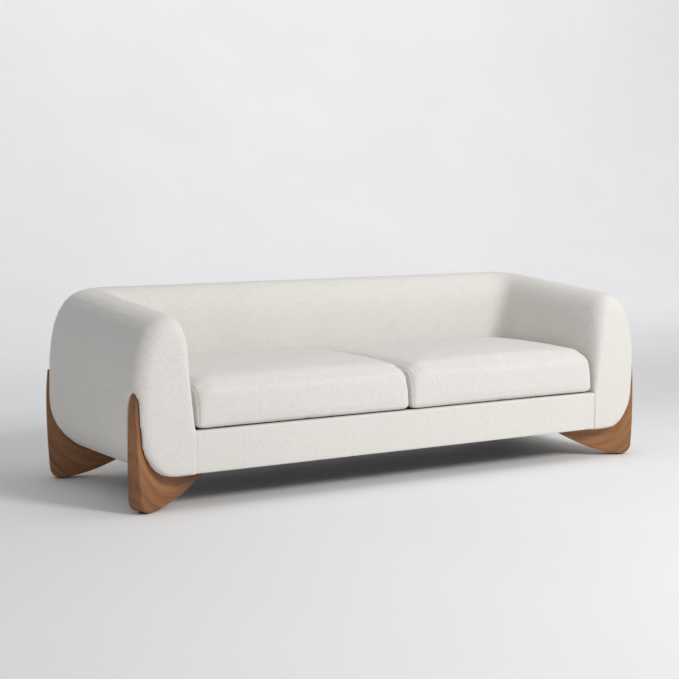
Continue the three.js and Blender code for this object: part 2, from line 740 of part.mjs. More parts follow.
// The leg at the front left corner. For the notch that holds it, it is larger all over by a gap, and
// reaches further out by an opening.
function legBlank(gap, opening = 0) {
  const stations = legStations();
  const rings = stations.map((station) => legRing(station, gap, opening));
  rings[0].forEach((p) => p.setY(p.y + gap));
  rings[rings.length - 1].forEach((p) => p.setX(p.x + gap));
  const plate = loft(rings.reverse());
  plate.rotateX(Math.PI / 2);
  plate.rotateZ(LEG_TOE_IN);
  return plate.translate(-halfLength, legCornerY, 0);
}

// A copy of a piece of the front left corner, for the corner that the two signs name.
function turned(geometry, mirror, flip) {
  const copy = geometry.clone().applyMatrix4(new THREE.Matrix4().makeScale(mirror, flip, 1));
  if (mirror * flip > 0) return copy;
  const position = copy.getAttribute("position");
  for (let i = 0; i < position.count; i += 3) {
    const first = new THREE.Vector3().fromBufferAttribute(position, i);
    const second = new THREE.Vector3().fromBufferAttribute(position, i + 1);
    position.setXYZ(i, ...second.toArray());
    position.setXYZ(i + 1, ...first.toArray());
  }
  return copy;
}

// The room for the four legs in the upholstery and the dust cover.
function legNotches() {
  return CORNERS.map(([, mirror, flip]) => turned(legBlank(LEG_GAP, LEG_OPENING), mirror, flip));
}

function legHoles() {
  return BOLT_PLACES.flatMap((along) => {
    const seat = lowerEdge(along) + HEAD_RECESS;
    return [
      rod(BOLT_RADIUS + BOLT_CLEARANCE, 0, UNDERSIDE + 60, platePlace(along)),
      rod(BOLT_HEAD_RADIUS + HEAD_CLEARANCE, -10, seat, platePlace(along)),
    ];
  });
}

function boltGeometry(along) {
  const seat = lowerEdge(along) + HEAD_RECESS - TOUCH;
  const end = railBottom + BLOCK_HEIGHT - 6;
  const profile = [
    [0, seat - BOLT_HEAD_HEIGHT],
    [BOLT_HEAD_RADIUS, seat - BOLT_HEAD_HEIGHT],
    [BOLT_HEAD_RADIUS, seat],
    [BOLT_RADIUS, seat],
    [BOLT_RADIUS, end],
    [0, end],
  ].map(([radius, z]) => new THREE.Vector2(radius, z));
  const [x, y] = platePlace(along);
  return new THREE.LatheGeometry(profile, 12).rotateX(Math.PI / 2).translate(x, y, 0);
}

function makeLegs() {
  const leg = without(legBlank(0), ...legHoles());
  const glide = rod(GLIDE_RADIUS, 0, GLIDE_THICKNESS - TOUCH, platePlace(FOOT_PLACE), 20);
  for (const [corner, mirror, flip] of CORNERS) {
    place(`${corner}_leg`, leg, wood).scale.set(mirror, flip, 1);
    BOLT_PLACES.forEach((along, i) => {
      place(`${corner}_leg_bolt_${i + 1}`, boltGeometry(along), steel).scale.set(mirror, flip, 1);
    });
    place(`${corner}_glide`, glide, felt).scale.set(mirror, flip, 1);
  }
}

makeTub();
makeSeatFront();
makeDeckPad();
makeWebbing();
makeCushion("left", 1);
makeCushion("right", -1);
makeSeatFrame();
makeCornerBlocks();
makeArmFrame("left", -1);
makeArmFrame("right", 1);
makeBackFrame();
makeDustCover();
makeLegs();

export default sofa;
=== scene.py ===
"""The looks of the sofa: looped upholstery, loose seat cushions, shaped wooden legs and the frame."""

import math
from contextlib import contextmanager

import bmesh
import bpy
import numpy as np
from mathutils import Matrix, Vector


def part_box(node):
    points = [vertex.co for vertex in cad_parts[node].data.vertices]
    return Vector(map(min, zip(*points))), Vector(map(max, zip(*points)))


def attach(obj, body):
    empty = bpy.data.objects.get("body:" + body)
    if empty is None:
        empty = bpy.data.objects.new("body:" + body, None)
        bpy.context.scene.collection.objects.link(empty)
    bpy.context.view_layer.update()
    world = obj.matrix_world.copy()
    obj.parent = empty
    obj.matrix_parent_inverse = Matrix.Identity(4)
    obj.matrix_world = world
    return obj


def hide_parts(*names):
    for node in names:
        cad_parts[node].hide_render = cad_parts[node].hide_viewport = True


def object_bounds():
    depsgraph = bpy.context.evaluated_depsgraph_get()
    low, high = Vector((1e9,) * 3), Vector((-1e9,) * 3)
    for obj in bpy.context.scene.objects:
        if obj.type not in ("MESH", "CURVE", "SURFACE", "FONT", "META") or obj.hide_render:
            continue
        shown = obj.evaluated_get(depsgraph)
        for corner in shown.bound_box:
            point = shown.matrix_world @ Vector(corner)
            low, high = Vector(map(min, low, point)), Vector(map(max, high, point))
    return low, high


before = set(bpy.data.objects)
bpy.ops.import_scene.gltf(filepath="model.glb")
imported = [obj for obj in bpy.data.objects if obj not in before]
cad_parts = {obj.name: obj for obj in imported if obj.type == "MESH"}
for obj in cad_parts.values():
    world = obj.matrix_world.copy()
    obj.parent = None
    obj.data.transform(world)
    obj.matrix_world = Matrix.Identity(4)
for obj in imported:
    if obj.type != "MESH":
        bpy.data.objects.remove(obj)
cad_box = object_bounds()

SIDES = ("left", "right")
# Each corner, with the signs that turn the front left one into it.
CORNERS = (
    ("left_front", 1, 1),
    ("right_front", -1, 1),
    ("left_rear", 1, -1),
    ("right_rear", -1, -1),
)

# Upholstery, in metres
BODY_VOXEL = 0.008
BODY_SMOOTHING = 12
LOOP_SIZE = 0.0056  # one loop of the yarn
DENT = 0.0012  # slow unevenness of the stuffing
SNUG = 0.002  # how softly a pad's faces are pressed back into its box

# The arms' front edges stay crisp where they meet the covered rail
CRISP_REACH = 1.6  # to each side, in widths
CRISP_WIDTH = 0.012
CRISP_FADE = 0.020  # above the rail
CRISP_DEPTH = 0.040
CRISP_DEPTH_FADE = 0.010

# Covered rail under the cushions
PAD_VOXEL = 0.005
PAD_REACH = 0.003  # how far the rail's cover presses against each arm
PAD_ROUND = 0.005
PAD_DENT = 0.6 * DENT
PAD_LONG_EDGE = 0.1  # edges longer than this run along the rail

# Platform under the cushions
DECK_VOXEL = 0.009
CHANNEL_WIDTH = 0.158
CHANNEL_DEPTH = 0.004
CHANNEL_POWER = 0.35  # the smaller, the narrower the stitched lines

# Cushions
CUSHION_VOXEL = 0.010
CUSHION_STEPS = 40
CUSHION_START = 0.004  # how much smaller the cushion is before it is filled
CUSHION_LIFT = 0.0005
CUSHION_LOW = 0.030  # how much lower its upper edges are than its finished crown
CUSHION_GIVE = 0.030  # furthest that its cover moves as it fills
CUSHION_PRESSURE = 0.35
COVER_STIFFNESS = 60
COVER_BENDING = 8
FILL_FRAMES = 20
CUSHION_EDGE_RADIUS = 0.018
CUSHION_FOOT_RADIUS = 0.006
CUSHION_TOP_RADIUS = 0.078
CUSHION_FOOT_RISE = 0.8  # where the foot's radius ends, in half heights
CUSHION_SHOULDER = 0.2  # where the top's radius starts, in half heights below the middle
CUSHION_SIDE_SHARE = 0.35  # of the top's rounding, on the edges that aren't in front
CUSHION_CROWN = 0.022
CUSHION_CROWN_POWER = 0.8
CORE_DEPTH = 0.010  # foam below the outside of the cover
SEAM_IN = 0.011  # seam to the side panel's face
SEAM_DEPTH = 0.0028
SEAM_HALF_WIDTH = 0.0034
SEAM_START = 0.004  # above the underside
SEAM_FADE = 0.012

# Legs: the same outline as the frame's legs
TOE_IN = math.radians(20)
LEG_INSET = 0.035  # the plate's middle plane behind the front plane, at the corner
LEG_TOP = 0.440
LEG_ARCH = 0.075
LEG_WAIST = 0.300  # height where the outer edge stands furthest out
LEG_WAIST_IN = 0.012
LEG_BOW = 0.009
LEG_BOW_FOOT = 0.05
LEG_TIP_DRAW = 0.005
LEG_HEEL = 0.044
LEG_EDGE = 0.008
LEG_EDGE_SHARE = 0.7  # the most of a narrow section that its round edges take up
LEG_CROOK = (0.142, 0.206)  # radii of the inside of the bend
LEG_CROOK_END = 0.185
LEG_CROOK_BASE = 0.1234
LEG_REACH = 0.376
LEG_RISE = 0.115
LEG_RISE_CURVE = (-0.26, 1.6, -0.34)  # the rise as a cubic of the share of the reach
LEG_TAPER = 0.012
LEG_LIFT = 0.004
LEG_WIDTH_TOP = 0.046
LEG_WIDTH_FOOT = 0.072
LEG_TIP_BLUNT = 0.015  # square of the share of the width that is left at the tip
HEEL_TURN = (180, 268)  # degrees of the round under the foot
HEEL_END = 0.09  # along the plate, where that round has run out
CROOK_TURN = (184, 250)  # degrees of the inside of the bend over the foot
HORN_STATIONS = 30
EDGE_STATIONS = 20
HEEL_STATIONS = 16
REACH_STATIONS = 26
LEG_SHARP = math.radians(40)
GRAIN_SHIFT = 0.73  # from each leg to the next, so that no two have the same grain

# Bolts
BOLT_PLACES = (0.255, 0.325)  # along the plate
BOLT_RECESS = 0.016
BOLT_ROOM = 0.008
HOLE_RADIUS = 0.0045
HOLE_TOP = 0.3
HOLE_START = 0.02  # how far below the floor the cutters start
BOLT_HEAD = 0.0065
BOLT_HEAD_HEIGHT = 0.008
BOLT_HEAD_EDGE = 0.0008
BOLT_SHANK = 0.0039
BOLT_PLAIN = 0.012  # length of the shank without thread
BOLT_END = 0.003
BOLT_POINT = 0.001
THREAD_PITCH = 0.0016
THREAD_DEPTH = 0.0006
SOCKET_RADIUS = 0.0032
SOCKET_DEPTH = 0.004
BOLT_SEGMENTS = 24
BOLT_SHARP = math.radians(35)

# Dust cover, with its staples
LINING_CUTS = (40, 16)  # along and across
LINING_SAG = 0.006
LINING_RIPPLE = 0.0006
LINING_THICKNESS = 0.0006
LINING_LIFT = 0.0004
STAPLE_STEP = 0.045
STAPLE_WIDTH = 0.011
STAPLE_WIRE = 0.0012
STAPLE_FLATNESS = 0.7
STAPLE_DROP = 0.0002
STAPLE_INSET = 0.012
STAPLE_END_GAP = 0.34  # clear of the legs, along the front and the rear
STAPLE_SIDE_GAP = 0.16

# Zips
TOOTH_STEP = 0.0045
TOOTH_SIZE = (0.0022, 0.0012, 0.0050)
TOOTH_STAND = 0.0004
TOOTH_INSET = 0.012

# Each run of the slow unevenness starts from its own seed
BODY_SEED = 4
PAD_SEED = 9
CUSHION_SEED = 20
LINING_SEED = 31

# Setting
FLOOR_FRONT = -14.0
FLOOR_NEAR = -8.0
FLOOR_BEND = 7.0
FLOOR_RADIUS = 5.0
FLOOR_HALF_WIDTH = 26.0
BACKDROP_TOP = 14.0
CAMERA_PLACE = (-3.407, -5.3256, 1.1865)
CAMERA_TILT = -5.9244
CAMERA_TURN = -32.153
CAMERA_LENS = 80.69
WORLD_COLOUR = (0.97, 0.98, 1.0, 1)
WORLD_STRENGTH = 0.40
# Each light: place, aim, size, power and colour
LIGHTS = {
    "key": ((1.9, -6.1, 4.3), (0, 0, 0.3), (1.7, 1.7), 262, (1.0, 0.985, 0.965)),
    "backdrop": ((8, 2.6, 6.5), (8, 11, 4.5), (18, 2.5), 570, (1, 1, 1)),
    "overhead": ((1.2, -1.2, 4.2), (1.2, -1.2, 0), (2.4, 2.4), 30, (1, 1, 1)),
}


# ------------------------------------------------------------------ shader sums
class Value:
    """A socket that takes part in plain sums."""

    def __init__(self, finish, socket):
        self.finish = finish
        self.socket = socket

    def sum(self, operation, *terms):
        return self.finish.node("Math", {"operation": operation}, *terms)

    def __add__(self, other):
        return self.sum("ADD", self, other)

    def __sub__(self, other):
        return self.sum("SUBTRACT", self, other)

    def __mul__(self, other):
        return self.sum("MULTIPLY", self, other)

    def __rsub__(self, other):
        return self.sum("SUBTRACT", other, self)

    __radd__ = __add__
    __rmul__ = __mul__

    def part(self, name):
        """Another output of the same node."""
        return Value(self.finish, self.socket.node.outputs[name])

    def between(self, low, high):
        """0 below low, 1 above high, with a soft step."""
        settings = {"interpolation_type": "SMOOTHSTEP"}
        inputs = {"Value": self, "From Min": low, "From Max": high}
        return self.finish.node("MapRange", settings, **inputs)


class Finish:
    """A procedural material with one Principled shader."""

    def __init__(self, name, **constants):
        self.material = bpy.data.materials.new(name)
        self.material.use_nodes = True
        self.tree = self.material.node_tree
        self.shader = self.tree.nodes["Principled BSDF"]
        for socket, value in constants.items():
            self.shader.inputs[socket.replace("_", " ")].default_value = value

    def node(self, kind, settings=None, *terms, **inputs):
        made = self.tree.nodes.new("ShaderNode" + kind)
        for key, value in (settings or {}).items():
            if key == "stops":
                self.set_stops(made.color_ramp, value)
            else:
                setattr(made, key, value)
        for key, value in [*enumerate(terms), *inputs.items()]:
            self.connect(made.inputs[key], value)
        return Value(self, next(s for s in made.outputs if s.enabled))

    def connect(self, socket, value):
        if isinstance(value, Value):
            self.tree.links.new(value.socket, socket)
        else:
            socket.default_value = value

    def set_stops(self, ramp, stops):
        while len(ramp.elements) < len(stops):
            ramp.elements.new(0.5)
        for element, (place, colour) in zip(ramp.elements, stops):
            element.position = place
            element.color = (*colour, 1)

    def place(self, scale=(1, 1, 1), attribute=None):
        """The piece's own coordinates, or a named attribute of it, stretched."""
        if attribute:
            source = self.node("Attribute", {"attribute_name": attribute}).part("Vector")
        else:
            source = self.node("TexCoord").part("Object")
        return self.node("Mapping", None, Vector=source, Scale=scale)

    def noise(self, at, scale, detail=3.0, roughness=0.5, distortion=0.0):
        inputs = {"Vector": at, "Scale": scale, "Detail": detail, "Roughness": roughness}
        return self.node("TexNoise", None, **inputs, Distortion=distortion)

    def cells(self, at, scale, randomness=1.0):
        inputs = {"Vector": at, "Scale": scale, "Randomness": randomness}
        return self.node("TexVoronoi", {"feature": "F1"}, **inputs)

    def wave(self, at, direction, scale, distortion):
        inputs = {"Vector": at, "Scale": scale, "Distortion": distortion}
        return self.node("TexWave", {"bands_direction": direction}, **inputs)

    def scaled_and_moved(self, value, factors, offset):
        """A vector times three factors, plus another vector."""
        return self.node("VectorMath", {"operation": "MULTIPLY_ADD"}, value, factors, offset)

    def ramp(self, value, *stops):
        return self.node("ValToRGB", {"stops": stops}, Fac=value)

    def blend(self, share, first, second):
        """A mix of two colours."""
        made = self.tree.nodes.new("ShaderNodeMix")
        made.data_type = "RGBA"
        for place, value in ((0, share), (6, first), (7, second)):
            self.connect(made.inputs[place], value)
        return Value(self, made.outputs[2])

    def bump(self, height, distance, strength):
        inputs = {"Height": height, "Distance": distance, "Strength": strength}
        return self.node("Bump", None, **inputs)

    def done(self, **links):
        """The material, with what varies linked to the shader's sockets."""
        for socket, value in links.items():
            self.connect(self.shader.inputs[socket.replace("_", " ")], value)
        return self.material


def grey(value):
    return (value, value, value)


# ------------------------------------------------------------------ finishes
def make_boucle(name, tint=(1, 1, 1)):
    """Looped yarn: small uneven loops, some standing higher, with painted shade darkening the hollows
    between them.
    """
    finish = Finish(name, Sheen_Weight=0.25, Sheen_Roughness=0.55, Specular_IOR_Level=0.18)
    at = finish.place()
    drift = finish.noise(at, 90, 2).part("Color")
    shifted = finish.scaled_and_moved(drift, (0.006, 0.006, 0.006), at)
    loops = finish.cells(shifted, 1 / LOOP_SIZE)
    knots = finish.cells(shifted, 0.42 / LOOP_SIZE)
    fibre = finish.noise(at, 1400, 2, 0.6)
    patches = finish.noise(at, 34, 3)
    slow = finish.noise(at, 3.5, 3)
    hollow = loops.between(0.25, 0.90)
    high = 1 - knots.between(0.1, 0.55)
    height = (1 - hollow) * 0.6 + high * 0.4 + fibre * 0.25
    # Colour mix: random mottling of the yarn's tone, plus painted shade that leans the hollows between
    # loops to the darker colour
    mottling_and_painted_shade = patches * 0.35 + slow * 0.35 + (1 - hollow) * 0.3
    pale = [c * t for c, t in zip((0.800, 0.778, 0.742), tint)]
    deep = [c * t for c, t in zip((0.745, 0.721, 0.684), tint)]
    colour = finish.ramp(mottling_and_painted_shade, (0.28, deep), (0.72, pale))
    # Painted shade: the hollows between loops are darkened further in the colour
    yarn_colour_with_painted_shade = finish.blend(hollow * 0.16, colour, (*[c * 0.80 for c in deep], 1))
    tufts = finish.bump(height, 0.0011, 0.45)
    return finish.done(Base_Color=yarn_colour_with_painted_shade, Roughness=0.86 + fibre * 0.12, Normal=tufts)


def make_walnut():
    """Oiled walnut: long streaks, darker year rings and fine open pores, along the leg's bend."""
    finish = Finish("oiled_walnut", Coat_Roughness=0.35, Specular_IOR_Level=0.45)
    along = finish.place(attribute="board")
    bent = finish.noise(finish.place((2.2, 7, 7), "board"), 1.0, 3).part("Color")
    swayed = finish.scaled_and_moved(bent, (0.03, 0.03, 0.03), along)
    stretched = finish.node("VectorMath", {"operation": "MULTIPLY"}, swayed, (5.0, 150, 150))
    streaks = finish.noise(stretched, 1.0, 5, 0.62)
    rings = finish.node(
        "TexWave",
        {"wave_type": "BANDS", "bands_direction": "Y", "wave_profile": "SIN"},
        **{"Vector": swayed, "Scale": 9.0, "Distortion": 5.0, "Detail": 3.0, "Detail Scale": 1.2},
    )
    pores = finish.noise(finish.place((40, 1500, 1500), "board"), 1.0, 2, 0.6).between(0.60, 0.72)
    clouds = finish.noise(finish.place((2, 9, 9), "board"), 1.0, 2)
    colour = finish.ramp(
        streaks * 0.46 + rings * 0.06 + clouds * 0.46,
        (0.30, (0.140, 0.050, 0.015)),
        (0.45, (0.235, 0.096, 0.032)),
        (0.57, (0.345, 0.152, 0.052)),
        (0.74, (0.440, 0.208, 0.078)),
    )
    return finish.done(
        Base_Color=finish.blend(pores * 0.55, colour, (0.075, 0.028, 0.011, 1)),
        Roughness=0.40 + streaks * 0.22,
        Coat_Weight=0.12 + clouds * 0.1,
        Normal=finish.bump(streaks * 0.5 - pores * 0.8, 0.0003, 0.4),
    )


def make_timber(name, axis):
    """Sawn beech with its grain along one axis."""
    finish = Finish(name, Specular_IOR_Level=0.3)
    scale = [26.0, 26.0, 26.0]
    scale[axis] = 1.6
    streaks = finish.noise(finish.place(scale), 1.6, 5, 0.6, 0.4)
    flecks = finish.noise(finish.place([16 * s for s in scale]), 1.0, 2).between(0.60, 0.70)
    teeth = [900.0, 900.0, 900.0]
    teeth[axis] = 220.0
    sawn = finish.noise(finish.place(teeth), 1.0, 1)
    colour = finish.ramp(
        streaks,
        (0.30, (0.43, 0.28, 0.16)),
        (0.52, (0.60, 0.43, 0.27)),
        (0.75, (0.71, 0.54, 0.36)),
    )
    return finish.done(
        Base_Color=finish.blend(flecks * 0.4, colour, (0.32, 0.19, 0.10, 1)),
        Roughness=0.66 + sawn * 0.25,
        Normal=finish.bump(streaks * 0.4 + sawn * 0.6, 0.0008, 0.6),
    )


def make_lining():
    """Black non-woven lining: pressed dots on felted fibres."""
    finish = Finish("black_lining", Sheen_Weight=0.15, Specular_IOR_Level=0.2)
    at = finish.place()
    dots = finish.cells(at, 330, 0.12)
    fibres = finish.noise(at, 700, 4, 0.7, 1.2)
    cloudy = finish.noise(at, 6, 3)
    height = dots.between(0.1, 0.5) * 0.6 + fibres * 0.4
    return finish.done(
        Base_Color=finish.ramp(fibres * 0.6 + cloudy * 0.4, (0.3, grey(0.018)), (0.7, grey(0.060))),
        Roughness=0.82 + fibres * 0.14,
        Normal=finish.bump(height, 0.0006, 0.8),
    )


def make_webbing():
    """Woven elastic webbing, ribbed both ways."""
    finish = Finish("woven_webbing", Sheen_Weight=0.2, Specular_IOR_Level=0.25)
    at = finish.place()
    ribs = finish.wave(at, "Y", 95.0, 0.3)
    warp = finish.wave(at, "X", 60.0, 0.2)
    worn = finish.noise(at, 45, 3)
    weave = ribs * 0.65 + warp * 0.35
    dark, light = (0.050, 0.036, 0.026), (0.190, 0.142, 0.100)
    return finish.done(
        Base_Color=finish.ramp(weave * 0.7 + worn * 0.3, (0.2, dark), (0.8, light)),
        Roughness=0.74 + worn * 0.2,
        Normal=finish.bump(weave, 0.0009, 0.9),
    )


def make_tape():
    """Zip tape in the colour of the cover, with slanting ribs."""
    finish = Finish("zip_tape", Specular_IOR_Level=0.3)
    at = finish.place()
    ribs = finish.wave(at, "DIAGONAL", 260.0, 0.4)
    soil = finish.noise(at, 60, 3)
    dark, light = (0.40, 0.375, 0.335), (0.66, 0.63, 0.58)
    return finish.done(
        Base_Color=finish.ramp(ribs * 0.5 + soil * 0.5, (0.25, dark), (0.75, light)),
        Roughness=0.68 + soil * 0.2,
        Normal=finish.bump(ribs, 0.0004, 0.8),
    )


def make_foam():
    """Cut polyurethane foam: fine open cells."""
    finish = Finish("seat_foam", Specular_IOR_Level=0.2)
    at = finish.place()
    cells = finish.cells(at, 800)
    age = finish.noise(at, 7, 4)
    dark, light = (0.72, 0.62, 0.40), (0.88, 0.81, 0.62)
    return finish.done(
        Base_Color=finish.ramp(age * 0.7 + cells * 0.3, (0.25, dark), (0.75, light)),
        Roughness=0.84 + cells * 0.12,
        Normal=finish.bump(cells, 0.0008, 0.8),
    )


def make_steel():
    """Zinc plate over turned steel."""
    finish = Finish("zinc_plate", Metallic=1.0)
    crystals = finish.cells(finish.place(), 420)
    turned = finish.noise(finish.place((300, 300, 2600)), 1.0, 2)
    dark, light = (0.40, 0.41, 0.43), (0.72, 0.72, 0.70)
    return finish.done(
        Base_Color=finish.ramp(crystals * 0.6 + turned * 0.4, (0.2, dark), (0.8, light)),
        Roughness=0.26 + turned * 0.22,
        Normal=finish.bump(turned, 0.0002, 0.5),
    )


def make_felt():
    """Dark pressed felt, for the glides."""
    finish = Finish("pressed_felt", Sheen_Weight=0.3, Specular_IOR_Level=0.15)
    matted = finish.noise(finish.place(), 500, 5, 0.7, 2.0)
    dark, light = (0.030, 0.024, 0.020), (0.110, 0.092, 0.078)
    return finish.done(
        Base_Color=finish.ramp(matted, (0.3, dark), (0.7, light)),
        Roughness=0.85 + matted * 0.14,
        Normal=finish.bump(matted, 0.0010, 0.9),
    )


boucle = make_boucle("looped_boucle")
cushion_boucle = make_boucle("cushion_boucle", (0.992, 0.995, 1.0))
walnut = make_walnut()
beech = [make_timber(f"beech_along_{axis}", i) for i, axis in enumerate("xyz")]
lining = make_lining()
webbing = make_webbing()
tape = make_tape()
foam = make_foam()
steel = make_steel()
felt = make_felt()


# ------------------------------------------------------------------ mesh helpers
def put_in_scene(name, data):
    thing = bpy.data.objects.new(name, data)
    bpy.context.scene.collection.objects.link(thing)
    return thing


def new_piece(name, mesh, material, body="sofa_body", replaced=()):
    """A finished piece on its body, in place of the CAD nodes that it stands for."""
    return finish_piece(put_in_scene(name, mesh), material, body, replaced)


def finish_piece(piece, material, body="sofa_body", replaced=(), smooth=True):
    piece.data.materials.clear()
    piece.data.materials.append(material)
    if smooth:
        piece.data.shade_smooth()
    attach(piece, body)
    if replaced:
        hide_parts(*replaced)
    return piece


@contextmanager
def edited(mesh):
    """The mesh opened for editing, and written back afterwards."""
    work = bmesh.new()
    work.from_mesh(mesh)
    yield work
    work.to_mesh(mesh)
    work.free()


def mesh_from(name, points, faces):
    mesh = bpy.data.meshes.new(name)
    mesh.from_pydata([tuple(p) for p in points], [], faces)
    mesh.validate()
    return mesh


def lofted(name, points, count, capped=False):
    """A closed mesh through rings of points, each with the same count, with its faces outward."""
    faces = []
    rings = len(points) // count
    for r in range(rings - 1):
        for i in range(count):
            j = (i + 1) % count
            here, there = r * count, (r + 1) * count
            faces.append((here + i, here + j, there + j, there + i))
    if capped:
        faces.append(tuple(range(count)))
        faces.append(tuple((rings - 1) * count + i for i in reversed(range(count))))
    return outward(mesh_from(name, points, faces))


def outward(mesh):
    with edited(mesh) as work:
        bmesh.ops.remove_doubles(work, verts=work.verts, dist=1e-6)
        bmesh.ops.recalc_face_normals(work, faces=work.faces)
        if work.calc_volume(signed=True) < 0:
            bmesh.ops.reverse_faces(work, faces=work.faces)
    return mesh


def mirrored(mesh):
    """The mesh turned into its own mirror image across the sofa's middle."""
    mesh.transform(Matrix.Diagonal((-1, 1, 1, 1)))
    mesh.flip_normals()


def copy_of_node(node, name):
    """A merged copy of a CAD node, as a loose object."""
    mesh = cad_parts[node].data.copy()
    mesh.name = name
    with edited(mesh) as work:
        bmesh.ops.remove_doubles(work, verts=work.verts, dist=2e-5)
    if "sharp_face" in mesh.attributes:
        mesh.attributes.remove(mesh.attributes["sharp_face"])
    return put_in_scene(name, mesh)


def apply_modifiers(piece):
    """The piece's own mesh becomes what its modifiers make of it."""
    graph = bpy.context.evaluated_depsgraph_get()
    made = bpy.data.meshes.new_from_object(piece.evaluated_get(graph), depsgraph=graph)
    piece.modifiers.clear()
    old = piece.data
    piece.data = made
    bpy.data.meshes.remove(old)
    return piece


def remesh(piece, voxel, smoothing, crisp=None):
    """An even grid over the piece, softened all over but where crisp(points) is 1."""
    grid = piece.modifiers.new("even", "REMESH")
    grid.mode = "VOXEL"
    grid.voxel_size = voxel
    apply_modifiers(piece)
    soft = piece.modifiers.new("soften", "SMOOTH")
    soft.factor = 0.5
    soft.iterations = smoothing
    if crisp is not None:
        group = piece.vertex_groups.new(name="soft")
        weights = 1 - crisp(points_of(piece.data))
        for weight in (0.0, 0.5, 1.0):
            chosen = np.flatnonzero(np.round(weights * 2) / 2 == weight)
            group.add([int(i) for i in chosen], weight, "REPLACE")
        soft.vertex_group = group.name
    return apply_modifiers(piece)


def points_of(mesh):
    flat = np.empty(len(mesh.vertices) * 3)
    mesh.vertices.foreach_get("co", flat)
    return flat.reshape(-1, 3)


def normals_of(mesh):
    flat = np.empty(len(mesh.vertices) * 3)
    mesh.vertices.foreach_get("normal", flat)
    return flat.reshape(-1, 3)


def set_points(mesh, points):
    mesh.vertices.foreach_set("co", np.asarray(points, float).ravel())
    mesh.update()


def unevenness(points, seed):
    """A slow wave over space, from -1 to 1, made of a few sines."""
    rng = np.random.default_rng(seed)
    total = np.zeros(len(points))
    for length in (0.55, 0.34, 0.21, 0.13):
        for _ in range(3):
            direction = rng.normal(size=3)
            direction /= np.linalg.norm(direction)
            phase = rng.uniform(0, 2 * math.pi)
            total += length * np.sin(points @ direction * 2 * math.pi / length + phase)
    return total / np.abs(total).max()


def held_inside(points, low, high, soft=0.004):
    """Points pressed softly back inside a box."""
    for axis in range(3):
        middle = (low[axis] + high[axis]) / 2
        half = (high[axis] - low[axis]) / 2
        free = half - soft
        away = points[:, axis] - middle
        reach = np.abs(away)
        pressed = free + soft * np.tanh(np.maximum(reach - free, 0) / soft)
        points[:, axis] = middle + np.sign(away) * np.where(reach > free, pressed, reach)
    return points


# ------------------------------------------------------------------ upholstered body
def by_the_rail(points):
    """1 along the arms' front edges that meet the covered rail, and 0 away from them."""
    _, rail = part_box("front_rail_pad")
    from_corner = np.abs(np.abs(points[:, 0]) - rail.x)
    beside = np.clip(CRISP_REACH - from_corner / CRISP_WIDTH, 0, 1)
    below = np.clip((rail.z + CRISP_WIDTH - points[:, 2]) / CRISP_FADE, 0, 1)
    front = np.clip((cad_box[0].y + CRISP_DEPTH - points[:, 1]) / CRISP_DEPTH_FADE, 0, 1)
    return beside * below * front


def make_body():
    """Back and arms in one stuffed cover, with the legs' hollows and the slot for the frame."""
    body = copy_of_node("tub_upholstery", "upholstered_body")
    remesh(body, BODY_VOXEL, BODY_SMOOTHING, by_the_rail)
    points = points_of(body.data)
    uneven = DENT * unevenness(points, BODY_SEED)
    set_points(body.data, points + normals_of(body.data) * uneven[:, None])
    finish_piece(body, boucle, replaced=["tub_upholstery"])


def make_front_pad():
    """The covered rail under the cushions, with rounded long edges and a seam at each end."""
    low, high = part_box("front_rail_pad")
    low.x -= PAD_REACH
    high.x += PAD_REACH
    mesh = bpy.data.meshes.new("front_rail_cover")
    with edited(mesh) as work:
        bmesh.ops.create_cube(work, size=1)
        bmesh.ops.scale(work, vec=high - low, verts=work.verts)
        bmesh.ops.translate(work, vec=(high + low) / 2, verts=work.verts)
        ends = [(edge, edge.verts[0].co - edge.verts[1].co) for edge in work.edges]
        long_edges = [edge for edge, length in ends if abs(length.x) > PAD_LONG_EDGE]
        bevel = {"offset_type": "OFFSET", "segments": 6, "profile": 0.5, "affect": "EDGES"}
        bmesh.ops.bevel(work, geom=long_edges, offset=PAD_ROUND, **bevel)
    pad = put_in_scene("front_rail_cover", mesh)
    remesh(pad, PAD_VOXEL, 3)
    points = points_of(pad.data)
    points += normals_of(pad.data) * (PAD_DENT * unevenness(points, PAD_SEED))[:, None]
    set_points(pad.data, held_inside(points, low, high, SNUG))
    finish_piece(pad, boucle, replaced=["front_rail_pad"])


def make_deck():
    """The lined platform under the cushions, quilted in wide channels."""
    deck = remesh(copy_of_node("deck_pad", "deck_platform"), DECK_VOXEL, 3)
    low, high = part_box("deck_pad")
    points = points_of(deck.data)
    top = points[:, 2] > (low.z + high.z) / 2
    channels = np.abs(np.sin(points[:, 0] * math.pi / CHANNEL_WIDTH)) ** CHANNEL_POWER
    points[:, 2] -= np.where(top, (1 - channels) * CHANNEL_DEPTH, 0)
    set_points(deck.data, held_inside(points, low, high, SNUG))
    finish_piece(deck, lining, replaced=["deck_pad"])


# ------------------------------------------------------------------ cushions
def edge_radius(unit):
    """How round each point's edge is: tight at the foot, widest along the top of the front."""
    foot = np.clip((unit[:, 2] + 1) / CUSHION_FOOT_RISE, 0, 1)
    radius = CUSHION_FOOT_RADIUS + (CUSHION_EDGE_RADIUS - CUSHION_FOOT_RADIUS) * foot
    upper = np.clip((unit[:, 2] + CUSHION_SHOULDER) / (1 + CUSHION_SHOULDER), 0, 1)
    front = np.clip(-unit[:, 1], 0, 1)
    share = CUSHION_SIDE_SHARE + (1 - CUSHION_SIDE_SHARE) * front
    return radius + (CUSHION_TOP_RADIUS - CUSHION_EDGE_RADIUS) * upper * share


